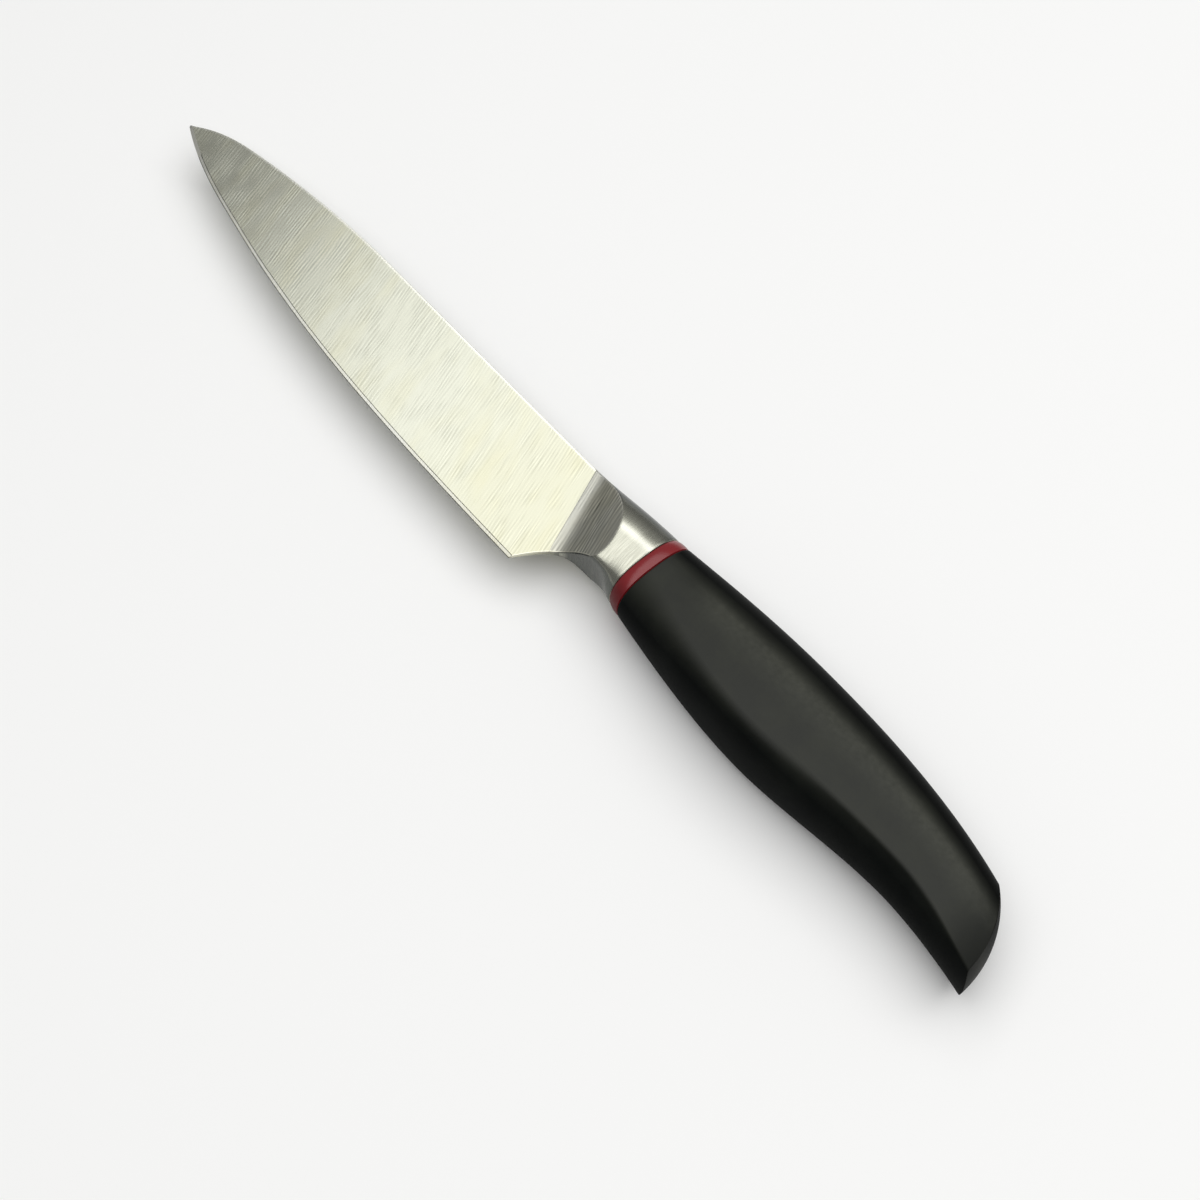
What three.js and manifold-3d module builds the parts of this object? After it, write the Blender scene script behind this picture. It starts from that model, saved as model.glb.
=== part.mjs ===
// Kitchen utility knife with a moulded handle, lying on its side. Millimetres, +Z up.
// X runs from the tip to the butt, Y from the cutting edge to the spine, Z through the thickness.
// The pieces are drawn about the knife's own axis: x = 0 is the joint between the bolster and the
// ring, and y = 0, z = 0 is the middle of that joint. At the end the whole knife is moved so that the
// origin is the bottom centre of its bounding box.

import * as THREE from 'three';
import { mergeVertices } from 'three/addons/utils/BufferGeometryUtils.js';
import Module from 'manifold-3d';

const wasm = await Module();
wasm.setup();

// Fit
const CLEARANCE = 0.3; // round each piece that sits inside another

// Blade outline
const BLADE_LENGTH = 127; // heel to tip
const HEEL_SETBACK = 19; // heel to the bolster's back face
const HEEL_DROP = 18; // axis down to the cutting edge at the heel
const SPINE_RISE = 7.15; // axis up to the straight part of the spine
const TIP_DROP = 2.8; // axis down to the tip
const TIP_BLUNT = 0.5; // height left on the point
const SPINE_FALL_LENGTH = 58; // tip to where the spine starts to fall
const SPINE_ROUND_LENGTH = 18; // tip to where the spine turns down hard
const SPINE_ROUND_FALL = 3.2; // how far the spine has fallen by there
const EDGE_ROUND_LENGTH = 31; // tip to the middle of the edge's belly
const EDGE_ROUND_RISE = 6.3; // how far the edge has risen by there
const SPINE_TIP_SLOPE = 0.8;
const SPINE_ROUND_SLOPE = 0.16;
const EDGE_TIP_SLOPE = -0.49;
const EDGE_ROUND_SLOPE = -0.19;

// Blade section
const STOCK_THICKNESS = 2.2; // spine at the heel, and the tang
const EDGE_THICKNESS = 0.76; // above the cutting bevel at the heel
const TIP_THICKNESS = 0.6;
const BEVEL_HEIGHT = 0.8;
const EDGE_LAND = 0.1; // flat left on the cutting edge
const SPINE_EASE = 0.25; // chamfer on the spine's corners
const SPINE_EASE_SHARE = 0.2; // most of the blade's height that the chamfer takes near the tip
const BEVEL_SHARE = 0.5; // the same for the cutting bevel

// Choil, the finger curve from the heel to the bolster's belly
const CHOIL_LENGTH = 14; // along the knife, from the heel to the neck
const CHOIL_HEEL_RUN = 2.8; // direction in which the curve leaves the heel
const CHOIL_HEEL_RISE = 5.2;
const CHOIL_NECK_RUN = 8.4; // how far ahead of the neck the curve turns level
const NECK_DROP = 7.45; // axis down to the belly corners of the neck

// Tang, the strip of the blade inside the handle
const TANG_HEIGHT = 8;
const TANG_END_HEIGHT = 6;
const TANG_REACH = 69; // past the ring
const SHOULDER_SETBACK = 10; // blade shoulders to the bolster's back face
const TANG_ROOT = 2; // tang run into the blade ahead of the shoulders
const ANCHOR_HOLE_DIAMETER = 4.6;
const ANCHOR_HOLE_FIRST = 20; // ring to the first hole
const ANCHOR_HOLE_PITCH = 32;

// Bolster
const NECK_THICKNESS = 12.4;
const BELLY_FLARE = 5; // extra depth of the oval towards the heel, before the belly is cut
const PLUNGE_SETBACK = 22.4; // start of the ramp at the spine, to the bolster's back face
const GRIND_ANGLE = 113; // degrees from +X, the way the grinding lines run on the blade
const RAMP_ANGLE = 31; // degrees that the ramp climbs
const RAMP_RADIUS = 7; // hollow at the foot of the ramp
const NECK_POWER = 2.4; // 2 is an ellipse, more is squarer

// Ring
const RING_WIDTH = 3.2;
const RING_RISE = 8.35; // axis up to the ring's top, where it meets the bolster
const RING_DROP = 9.2; // axis down to its bottom
const RING_THICKNESS = 12.8;
const RING_WALL = 2.6;
const RING_BULGE = 0.25; // crown of its outside
const RING_SEAM = 0.15; // how far its edges lie below its neighbours

// Handle outline, all lengths along X from the back of the ring
const GRIP_LENGTH = 93.4; // to the hook's tip
const GRIP_FRONT_RISE = 8.55;
const GRIP_FRONT_DROP = 9.85;
const GRIP_FRONT_THICKNESS = 13.4;
const SWELL_AT = 35;
const SWELL_RISE = 10.45;
const SWELL_DROP = 12.85;
const SWELL_THICKNESS = 18;
const WAIST_AT = 71;
const WAIST_DROP = 10.55;
const HOOK_DROP = 12.65;
const BUTT_SETBACK = 9.2; // top corner of the butt, ahead of the hook's tip
const BUTT_RISE = 5.25;
const BUTT_THICKNESS = 11;
const END_RADIUS = 21.8; // domed end face, along the knife's middle plane
const END_SIDE_RADIUS = 15.6; // the same across the thickness
const FRONT_TOP_SLOPE = 0.11;
const FRONT_BELLY_SLOPE = -0.15;
const FRONT_THICKNESS_SLOPE = 0.1;
const BUTT_TOP_SLOPE = -0.27;
const HOOK_SLOPE = -0.13;
const BUTT_THICKNESS_SLOPE = -0.08;
const GRIP_POWER = 2.8;
const CREASE_SWELL_RISE = 4.4; // belly line up to the crease where the side panel ends
const CREASE_WAIST_RISE = 3.3;
const CREASE_HOOK_RISE = 0.9;
const CREASE_FRONT_SLOPE = -0.25; // how the crease closes on the belly line behind the ring
const CREASE_HOOK_SLOPE = -0.15;
const CREASE_TUCK = 0.42; // share of the half thickness by which the belly turns in, waist to hook

// Inside the handle
const GRIP_WALL = 3;
const CORE_TAIL = 8; // core past the tang's end

// How finely curves are cut into facets
const OVAL_POINTS = 48;
const BLADE_STATIONS = 40;
const BLADE_CROWDING = 1.5; // 1 spaces the blade's sections evenly, more packs them towards the tip
const CHOIL_STATIONS = 18;
const NECK_STATIONS = 6;
const RING_STATIONS = 8;
const GRIP_STATIONS = 40;
const CORE_STATIONS = 16;
const NECK_OVER_POINTS = 37;
const NECK_BELLY_POINTS = 9;
const GRIP_OVER_POINTS = 33;
const GRIP_BELLY_POINTS = 8;

// Places along X that follow from the sizes
const HEEL_X = -HEEL_SETBACK;
const TIP_X = HEEL_X - BLADE_LENGTH;
const SHOULDER_X = -SHOULDER_SETBACK;
const PLUNGE_X = -PLUNGE_SETBACK;
const NECK_X = HEEL_X + CHOIL_LENGTH;
const GRIP_X = RING_WIDTH;
const HOOK_X = GRIP_X + GRIP_LENGTH;
const BUTT_X = HOOK_X - BUTT_SETBACK;
const TANG_END_X = GRIP_X + TANG_REACH;
const CORE_END_X = TANG_END_X + CORE_TAIL;
const OVERCUT = 4; // tools and trimmed blanks run this far past what they cut

// Outlines as knots: [x, height, slope]
const SPINE = [
  [TIP_X, TIP_BLUNT / 2 - TIP_DROP, SPINE_TIP_SLOPE],
  [TIP_X + SPINE_ROUND_LENGTH, SPINE_RISE - SPINE_ROUND_FALL, SPINE_ROUND_SLOPE],
  [TIP_X + SPINE_FALL_LENGTH, SPINE_RISE, 0],
  [PLUNGE_X, SPINE_RISE, 0],
  [0, RING_RISE, 0],
];
const EDGE = [
  [TIP_X, -TIP_BLUNT / 2 - TIP_DROP, EDGE_TIP_SLOPE],
  [TIP_X + EDGE_ROUND_LENGTH, EDGE_ROUND_RISE - HEEL_DROP, EDGE_ROUND_SLOPE],
  [HEEL_X, -HEEL_DROP, 0],
  [0, -HEEL_DROP, 0],
];
const NECK_HALF_THICKNESS = [
  [PLUNGE_X, NECK_THICKNESS / 2, 0],
  [NECK_X, NECK_THICKNESS / 2, 0],
  [0, RING_THICKNESS / 2, 0],
];
const GRIP_TOP = [
  [GRIP_X, GRIP_FRONT_RISE, FRONT_TOP_SLOPE],
  [GRIP_X + SWELL_AT, SWELL_RISE, 0],
  [BUTT_X, BUTT_RISE, BUTT_TOP_SLOPE],
  [HOOK_X + OVERCUT, BUTT_RISE + BUTT_TOP_SLOPE * (BUTT_SETBACK + OVERCUT), BUTT_TOP_SLOPE],
];
const GRIP_BELLY = [
  [GRIP_X, -GRIP_FRONT_DROP, FRONT_BELLY_SLOPE],
  [GRIP_X + SWELL_AT, -SWELL_DROP, 0],
  [GRIP_X + WAIST_AT, -WAIST_DROP, 0],
  [HOOK_X, -HOOK_DROP, HOOK_SLOPE],
  [HOOK_X + OVERCUT, HOOK_SLOPE * OVERCUT - HOOK_DROP, HOOK_SLOPE],
];
const GRIP_HALF_THICKNESS = [
  [GRIP_X, GRIP_FRONT_THICKNESS / 2, FRONT_THICKNESS_SLOPE],
  [GRIP_X + SWELL_AT, SWELL_THICKNESS / 2, 0],
  [HOOK_X + OVERCUT, BUTT_THICKNESS / 2, BUTT_THICKNESS_SLOPE],
];
const GRIP_SQUARENESS = [
  [GRIP_X, NECK_POWER, 0],
  [GRIP_X + SWELL_AT, GRIP_POWER, 0],
  [HOOK_X + OVERCUT, GRIP_POWER, 0],
];
const GRIP_CREASE_RISE = [
  [GRIP_X, (GRIP_FRONT_RISE + GRIP_FRONT_DROP) / 2, CREASE_FRONT_SLOPE],
  [GRIP_X + SWELL_AT, CREASE_SWELL_RISE, 0],
  [GRIP_X + WAIST_AT, CREASE_WAIST_RISE, 0],
  [HOOK_X, CREASE_HOOK_RISE, CREASE_HOOK_SLOPE],
  [HOOK_X + OVERCUT, CREASE_HOOK_RISE + CREASE_HOOK_SLOPE * OVERCUT, CREASE_HOOK_SLOPE],
];
const GRIP_TUCK = [
  [GRIP_X, 0, 0],
  [GRIP_X + SWELL_AT, 0, 0],
  [GRIP_X + WAIST_AT, CREASE_TUCK, 0],
  [HOOK_X + OVERCUT, CREASE_TUCK, 0],
];

// Flat-ground faces: the half thickness falls evenly from the spine to the edge and from heel to tip.
const GRIND_SLOPE = (STOCK_THICKNESS - EDGE_THICKNESS) / 2 / (SPINE_RISE + HEEL_DROP - BEVEL_HEIGHT);
const TIP_LOSS = (STOCK_THICKNESS - TIP_THICKNESS) / 2 - GRIND_SLOPE * (SPINE_RISE + TIP_DROP);
const TAPER_SLOPE = TIP_LOSS / BLADE_LENGTH;

function faceHeight(x, y) {
  return STOCK_THICKNESS / 2 + TAPER_SLOPE * (x - HEEL_X) + GRIND_SLOPE * (y - SPINE_RISE);
}

// Height at x of the smooth curve that passes through the knots with their slopes.
function heightAt(knots, x) {
  let i = 0;
  while (i < knots.length - 2 && x > knots[i + 1][0]) {
    i += 1;
  }
  const [x0, y0, slope0] = knots[i];
  const [x1, y1, slope1] = knots[i + 1];
  const span = x1 - x0;
  const u = (x - x0) / span;
  const share = u * u * (3 - 2 * u);
  const bend = slope0 * u * (1 - u) ** 2 - slope1 * u ** 2 * (1 - u);
  return y0 + (y1 - y0) * share + span * bend;
}

function stations(from, to, count, crowding = 1) {
  return Array.from({ length: count + 1 }, (_, i) => from + (to - from) * (i / count) ** crowding);
}

// Closed skin over rings of points. The rings follow +X and go round from +Y towards +Z.
function loft(rings) {
  const count = rings[0].length;
  const last = (rings.length - 1) * count;
  const points = rings.flat();
  const index = [];
  for (let row = 0; row < last; row += count) {
    for (let k = 0; k < count; k += 1) {
      const a = row + k;
      const b = row + ((k + 1) % count);
      index.push(a, b, a + count, b, b + count, a + count);
    }
  }
  const middle = (ring) => ring.reduce((sum, p) => sum.add(p), new THREE.Vector3()).divideScalar(count);
  const frontMiddle = points.push(middle(rings[0])) - 1;
  const backMiddle = points.push(middle(rings[rings.length - 1])) - 1;
  for (let k = 0; k < count; k += 1) {
    const next = (k + 1) % count;
    index.push(frontMiddle, next, k, backMiddle, last + k, last + next);
  }
  const geometry = new THREE.BufferGeometry().setFromPoints(points);
  geometry.setIndex(index);
  return geometry;
}

const signedPower = (value, power) => Math.sign(value) * Math.abs(value) ** power;

// Point on an oval section, at an angle from its top at the spine.
function ovalPoint(x, { top, bottom, halfThickness, power }, angle) {
  const y = (top + bottom) / 2 + ((top - bottom) / 2) * signedPower(Math.cos(angle), 2 / power);
  return new THREE.Vector3(x, y, halfThickness * signedPower(Math.sin(angle), 2 / power));
}

function ovalRing(x, section) {
  const step = (2 * Math.PI) / OVAL_POINTS;
  return Array.from({ length: OVAL_POINTS }, (_, k) => ovalPoint(x, section, k * step));
}

// Solids for cutting and joining
function solid(geometry) {
  geometry.deleteAttribute('normal');
  geometry.deleteAttribute('uv');
  const welded = mergeVertices(geometry);
  const vertProperties = new Float32Array(welded.attributes.position.array);
  const triVerts = new Uint32Array(welded.index.array);
  return new wasm.Manifold(new wasm.Mesh({ numProp: 3, vertProperties, triVerts }));
}

function piece(name, body, finish) {
  const { vertProperties, triVerts } = body.getMesh();
  const geometry = new THREE.BufferGeometry();
  geometry.setAttribute('position', new THREE.BufferAttribute(vertProperties, 3));
  geometry.setIndex(new THREE.BufferAttribute(triVerts, 1));
  geometry.computeVertexNormals();
  const mesh = new THREE.Mesh(geometry, new THREE.MeshStandardMaterial(finish));
  mesh.name = name;
  return mesh;
}

// Shape extruded evenly to both sides of the knife's middle plane
function plate(shape, thickness) {
  const geometry = new THREE.ExtrudeGeometry(shape, {
    depth: thickness,
    bevelEnabled: false,
    curveSegments: CHOIL_STATIONS,
  });
  return solid(geometry.translate(0, 0, -thickness / 2));
}

// Blade: ground section from the tip to the shoulders. The bolster's slot is the same form, thicker by
// grow on each face and standing past the spine and the edge by over.
function groundBlank(grow, over) {
  const rings = stations(TIP_X, SHOULDER_X, BLADE_STATIONS, BLADE_CROWDING).map((x) => {
    const spine = heightAt(SPINE, x) + over;
    const edge = heightAt(EDGE, x) - over;
    const ease = Math.min(SPINE_EASE, (spine - edge) * SPINE_EASE_SHARE);
    const easeY = spine - ease;
    const bevelY = edge + Math.min(BEVEL_HEIGHT, (spine - edge) * BEVEL_SHARE);
    const easeZ = faceHeight(x, easeY) + grow;
    const bevelZ = faceHeight(x, bevelY) + grow;
    const landZ = EDGE_LAND / 2 + grow;
    const half = [[spine, easeZ - ease], [easeY, easeZ], [bevelY, bevelZ], [edge, landZ]];
    const otherHalf = half.map(([y, z]) => [y, -z]).reverse();
    return [...half, ...otherHalf].map(([y, z]) => new THREE.Vector3(x, y, z));
  });
  return solid(loft(rings));
}

// The belly line from the heel to the neck, level from there to the ring
const CHOIL = new THREE.CubicBezierCurve(
  new THREE.Vector2(HEEL_X, -HEEL_DROP),
  new THREE.Vector2(HEEL_X + CHOIL_HEEL_RUN, CHOIL_HEEL_RISE - HEEL_DROP),
  new THREE.Vector2(NECK_X - CHOIL_NECK_RUN, -NECK_DROP),
  new THREE.Vector2(NECK_X, -NECK_DROP),
);

function choilCut() {
  const below = -HEEL_DROP - OVERCUT;
  const shape = new THREE.Shape(CHOIL.getPoints(CHOIL_STATIONS));
  shape.lineTo(0, -NECK_DROP);
  shape.lineTo(0, below);
  shape.lineTo(HEEL_X, below);
  return plate(shape, STOCK_THICKNESS + OVERCUT);
}

const anchorHoles = [0, 1].map((i) => GRIP_X + ANCHOR_HOLE_FIRST + i * ANCHOR_HOLE_PITCH);

function tang(grow) {
  const root = TANG_HEIGHT / 2 + grow;
  const end = TANG_END_HEIGHT / 2 + grow;
  const rootX = SHOULDER_X - TANG_ROOT - grow;
  const endX = TANG_END_X - TANG_END_HEIGHT / 2;
  const shape = new THREE.Shape();
  shape.moveTo(rootX, -root);
  shape.lineTo(endX, -end);
  shape.absarc(endX, 0, end, -Math.PI / 2, Math.PI / 2);
  shape.lineTo(rootX, root);
  return plate(shape, STOCK_THICKNESS + 2 * grow);
}

function anchorPin(x, diameter, length) {
  const geometry = new THREE.CylinderGeometry(diameter / 2, diameter / 2, length, OVAL_POINTS / 2);
  return solid(geometry.rotateX(Math.PI / 2).translate(x, 0, 0));
}

function blade() {
  let body = groundBlank(0, 0).subtract(choilCut()).add(tang(0));
  for (const x of anchorHoles) {
    body = body.subtract(anchorPin(x, ANCHOR_HOLE_DIAMETER, STOCK_THICKNESS + OVERCUT));
  }
  return piece('blade', body, { color: 0xd6d8c8, roughness: 0.35, metalness: 1 });
}

// Bolster: one section of the neck. An oval comes down from the spine on both sides to the belly's two
// corners, and the belly between them is flat at the choil and crowned to the ring's oval at the ring.
function neckRing(x, cornerY) {
  const crownAtRing = RING_DROP - NECK_DROP;
  const top = heightAt(SPINE, x);
  const bottom = cornerY - crownAtRing - BELLY_FLARE * (x / HEEL_X) ** 2;
  const section = { top, bottom, halfThickness: heightAt(NECK_HALF_THICKNESS, x), power: NECK_POWER };
  const cornerShare = (2 * cornerY - top - bottom) / (top - bottom);
  const cornerAngle = Math.acos(signedPower(cornerShare, NECK_POWER / 2));
  const over = Array.from({ length: NECK_OVER_POINTS }, (_, k) => {
    return ovalPoint(x, section, cornerAngle * ((2 * k) / (NECK_OVER_POINTS - 1) - 1));
  });
  const cornerZ = over[over.length - 1].z;
  const crown = crownAtRing * THREE.MathUtils.smoothstep(x, NECK_X, 0);
  const belly = Array.from({ length: NECK_BELLY_POINTS }, (_, k) => {
    const across = 1 - (2 * (k + 1)) / (NECK_BELLY_POINTS + 1);
    return new THREE.Vector3(x, cornerY - crown * (1 - across ** 2), cornerZ * across);
  });
  return [...over, ...belly];
}

function neckBlank() {
  const front = neckRing(PLUNGE_X - OVERCUT, -HEEL_DROP);
  const choil = CHOIL.getPoints(CHOIL_STATIONS).map((p) => neckRing(p.x, p.y));
  const neck = stations(NECK_X, 0, NECK_STATIONS).slice(1).map((x) => neckRing(x, -NECK_DROP));
  return solid(loft([front, ...choil, ...neck]));
}

// What the grinding wheel takes off one side: all above the blade's face, then all above a ramp that
// leaves the face in a hollow and climbs towards the ring. The wheel runs along the grinding lines.
function wheelCut(side) {
  const run = THREE.MathUtils.degToRad(GRIND_ANGLE);
  const climb = THREE.MathUtils.degToRad(RAMP_ANGLE);
  const away = new THREE.Vector3(-TAPER_SLOPE, -GRIND_SLOPE, 1).normalize();
  const along = new THREE.Vector3(Math.cos(run), Math.sin(run), 0);
  along.addScaledVector(away, -along.dot(away)).normalize();
  const back = new THREE.Vector3().crossVectors(along, away);
  const foot = new THREE.Vector3(PLUNGE_X, SPINE_RISE, faceHeight(PLUNGE_X, SPINE_RISE));
  for (const v of [away, back, foot]) {
    v.z *= side;
  }

  const reach = HEEL_SETBACK + HEEL_DROP + SPINE_RISE;
  const profile = new THREE.Shape();
  profile.moveTo(-reach, 0);
  profile.lineTo(0, 0);
  profile.absarc(0, RAMP_RADIUS, RAMP_RADIUS, -Math.PI / 2, climb - Math.PI / 2);
  profile.lineTo(reach, RAMP_RADIUS * (1 - Math.cos(climb)) + Math.tan(climb) * reach);
  profile.lineTo(-reach, Math.tan(climb) * reach + RAMP_RADIUS);
  const geometry = new THREE.ExtrudeGeometry(profile, { depth: 2 * reach, bevelEnabled: false });
  geometry.translate(0, 0, -reach);
  const turn = new THREE.Matrix4().makeBasis(back, away, new THREE.Vector3().crossVectors(back, away));
  return solid(geometry.applyMatrix4(turn.setPosition(foot)));
}

function ringSection(inset) {
  return {
    top: RING_RISE - inset,
    bottom: inset - RING_DROP,
    halfThickness: RING_THICKNESS / 2 - inset,
    power: NECK_POWER,
  };
}

function spigot() {
  const section = ringSection(RING_WALL + CLEARANCE);
  return solid(loft([NECK_X / 2, RING_WIDTH].map((x) => ovalRing(x, section))));
}

function bolster() {
  const body = neckBlank()
    .add(spigot())
    .subtract(wheelCut(1))
    .subtract(wheelCut(-1))
    .subtract(groundBlank(CLEARANCE, OVERCUT))
    .subtract(tang(CLEARANCE));
  return piece('bolster', body, { color: 0xc9cabf, roughness: 0.3, metalness: 1 });
}

// Grip: one section of the handle's outside, or of what lies inset below it. An oval runs over the spine
// from crease to crease. The belly below turns in at the creases and is level along its lowest line.
function gripRing(x, inset) {
  const top = heightAt(GRIP_TOP, x) - inset;
  const bottom = heightAt(GRIP_BELLY, x) + inset;
  const crease = bottom + heightAt(GRIP_CREASE_RISE, x);
  const halfThickness = heightAt(GRIP_HALF_THICKNESS, x) - inset;
  const oval = { top, bottom: 2 * crease - top, halfThickness, power: heightAt(GRIP_SQUARENESS, x) };
  const over = Array.from({ length: GRIP_OVER_POINTS }, (_, k) => {
    return ovalPoint(x, oval, Math.PI * (k / (GRIP_OVER_POINTS - 1) - 1 / 2));
  });
  const belly = new THREE.QuadraticBezierCurve3(
    new THREE.Vector3(x, crease, halfThickness),
    new THREE.Vector3(x, bottom, halfThickness * (1 - heightAt(GRIP_TUCK, x))),
    new THREE.Vector3(x, bottom, 0),
  );
  const near = belly.getPoints(GRIP_BELLY_POINTS).slice(1);
  const far = near.slice(0, -1).reverse().map((p) => new THREE.Vector3(p.x, p.y, -p.z));
  return [...over, ...near, ...far];
}

function gripBlank(inset, from, to, count) {
  return solid(loft(stations(from, to, count).map((x) => gripRing(x, inset))));
}

// Spacer ring: from the bolster's oval to the grip's, crowned between two slightly sunk edges
function spacerRing() {
  const rings = stations(0, RING_WIDTH, RING_STATIONS).map((x) => {
    const u = x / RING_WIDTH;
    const proud = RING_BULGE * 4 * u * (1 - u) - RING_SEAM;
    return ovalRing(x, {
      top: THREE.MathUtils.lerp(RING_RISE, GRIP_FRONT_RISE, u) + proud,
      bottom: -THREE.MathUtils.lerp(RING_DROP, GRIP_FRONT_DROP, u) - proud,
      halfThickness: THREE.MathUtils.lerp(RING_THICKNESS, GRIP_FRONT_THICKNESS, u) / 2 + proud,
      power: NECK_POWER,
    });
  });
  const bore = loft([-OVERCUT, RING_WIDTH + OVERCUT].map((x) => ovalRing(x, ringSection(RING_WALL))));
  const body = solid(loft(rings)).subtract(solid(bore));
  return piece('spacer_ring', body, { color: 0x8e2a30, roughness: 0.3, metalness: 0 });
}

// Handle core: moulded round the tang, with a plug through each anchor hole
function handleCore() {
  let slot = tang(CLEARANCE);
  for (const x of anchorHoles) {
    slot = slot.subtract(anchorPin(x, ANCHOR_HOLE_DIAMETER - 2 * CLEARANCE, STOCK_THICKNESS + OVERCUT));
  }
  const body = gripBlank(GRIP_WALL, GRIP_X, CORE_END_X, CORE_STATIONS).subtract(slot);
  return piece('handle_core', body, { color: 0x3a3c3e, roughness: 0.6, metalness: 0 });
}

// Everything past the domed end face, which stands square to the knife's axis at the hook's tip
function endCut() {
  const size = 2 * END_RADIUS;
  const dome = new THREE.SphereGeometry(END_RADIUS, 2 * OVAL_POINTS, OVAL_POINTS);
  dome.scale(1, 1, Math.sqrt(END_SIDE_RADIUS / END_RADIUS));
  const block = new THREE.BoxGeometry(size, size, size).translate(END_RADIUS, 0, 0);
  return solid(block).subtract(solid(dome)).translate(HOOK_X - END_RADIUS, -HOOK_DROP, 0);
}

function grip() {
  const socketFrom = GRIP_X - OVERCUT;
  const socketRings = stations(GRIP_X, CORE_END_X, CORE_STATIONS).map((x) => {
    return gripRing(x, GRIP_WALL - CLEARANCE);
  });
  const mouth = socketRings[0].map((p) => p.clone().setX(socketFrom));
  const body = gripBlank(0, GRIP_X, HOOK_X + OVERCUT, GRIP_STATIONS)
    .subtract(endCut())
    .subtract(solid(loft([mouth, ...socketRings])));
  return piece('grip', body, { color: 0x2b2d2a, roughness: 0.5, metalness: 0 });
}

const knife = new THREE.Group();
knife.add(blade(), bolster(), spacerRing(), handleCore(), grip());

const bounds = new THREE.Box3().setFromObject(knife);
const origin = bounds.getCenter(new THREE.Vector3()).setZ(bounds.min.z);
knife.position.copy(origin).negate();

export default knife;
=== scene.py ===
# %% [markdown]
# # A kitchen utility knife
# The knife lies on its side with the cutting edge towards us. It has a flat-ground steel blade, a bright
# oval bolster with two ground ramps, a red spacer ring and a black moulded handle with a hooked butt.
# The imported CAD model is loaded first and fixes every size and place. Its coarse faces could be left to
# show, but light on steel and satin plastic shows every facet, so the pieces that show are modelled again
# more finely over it. The handle's core, which nobody sees, stays as it is.

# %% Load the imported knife
import math

import bmesh
import bpy
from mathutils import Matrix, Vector


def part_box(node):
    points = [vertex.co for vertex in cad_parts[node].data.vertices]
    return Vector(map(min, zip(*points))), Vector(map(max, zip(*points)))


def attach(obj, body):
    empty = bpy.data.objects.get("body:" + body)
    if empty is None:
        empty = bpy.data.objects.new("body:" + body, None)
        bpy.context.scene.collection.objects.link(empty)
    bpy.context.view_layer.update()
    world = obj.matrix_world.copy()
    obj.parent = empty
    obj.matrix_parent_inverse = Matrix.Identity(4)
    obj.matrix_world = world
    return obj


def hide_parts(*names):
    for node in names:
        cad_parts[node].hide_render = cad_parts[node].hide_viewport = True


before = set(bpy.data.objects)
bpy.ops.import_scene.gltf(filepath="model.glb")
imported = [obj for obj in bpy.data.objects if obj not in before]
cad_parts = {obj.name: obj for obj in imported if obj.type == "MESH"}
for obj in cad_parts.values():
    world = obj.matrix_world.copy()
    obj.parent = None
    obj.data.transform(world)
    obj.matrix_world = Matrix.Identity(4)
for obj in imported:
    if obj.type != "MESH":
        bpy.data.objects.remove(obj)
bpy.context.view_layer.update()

MM = 0.001

# %% [markdown]
# ## The knife's own axis
# A knife maker measures from the joint between bolster and handle, and so does this lesson: x = 0 is the
# face where the bolster meets the red ring, y = 0 and z = 0 lie near the middle of that face, x runs to
# the butt, y to the spine and z up. The joint could be typed in as a number. It is taken from the boxes of
# the CAD nodes instead, so that nothing is fitted by eye.

# %% Millimetres from the joint
HEEL_DROP = 18.0
ring_low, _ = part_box("spacer_ring")
blade_low, blade_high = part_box("blade")
joint = Vector((ring_low.x, blade_low.y + HEEL_DROP * MM, (blade_low.z + blade_high.z) / 2))


def place(x, y, z):
    """The point of the frame, in metres, that lies at x, y, z millimetres from the joint."""
    return joint + Vector((x, y, z)) * MM


print("joint, mm:", [round(value / MM, 3) for value in joint])

# %% [markdown]
# ## Camera
# The photograph looks down on the knife at 61 degrees from in front of the butt, so the blade runs away
# to the upper left. A camera could be moved by hand until the outlines meet. Here its place, its target
# and its lens were worked out from four points that are easy to find again in the photograph: the tip, the
# heel, the hook and the top of the butt. The frame is square.

# %% Place the camera
CAMERA_PLACE = (142.48, -131.78, 338.60)
CAMERA_TARGET = (-0.87, -10.64, 0)
CAMERA_LENS = 62.1
SENSOR_WIDTH = 36
NEAR_LIMIT = 0.01
camera_data = bpy.data.cameras.new("studio_camera")
camera_data.lens = CAMERA_LENS
camera_data.sensor_width = SENSOR_WIDTH
camera_data.clip_start = NEAR_LIMIT
camera = bpy.data.objects.new("studio_camera", camera_data)
bpy.context.scene.collection.objects.link(camera)
camera.location = place(*CAMERA_PLACE)
line_of_sight = place(*CAMERA_TARGET) - camera.location
camera.rotation_euler = line_of_sight.to_track_quat("-Z", "Y").to_euler()
bpy.context.scene.camera = camera
print("camera to knife, mm:", round(line_of_sight.length / MM))

# %% [markdown]
# ## Finishes are built from nodes
# Every finish here is a small network of nodes. It could be wired up by hand in the shader editor, but a
# script can be run again. It starts with three helpers. The first turns a colour as a designer writes
# it, sRGB hex, into the linear values that Blender calculates with. The second starts an empty finish. The
# third adds one node to it, gives it its settings, and fills each socket with a constant or with a link
# from another node. The sockets of a Mix node share their names, so they go by number: 0 is the factor,
# 2 and 3 are numbers, 6 and 7 are colours.

# %% Colour and node helpers
def linear(hex_colour):
    """sRGB hex to linear red, green, blue and alpha, by the curve of the sRGB standard."""
    channels = [int(hex_colour[i:i + 2], 16) / 255 for i in (1, 3, 5)]
    return [c / 12.92 if c <= 0.04045 else ((c + 0.055) / 1.055) ** 2.4 for c in channels] + [1.0]


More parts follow.
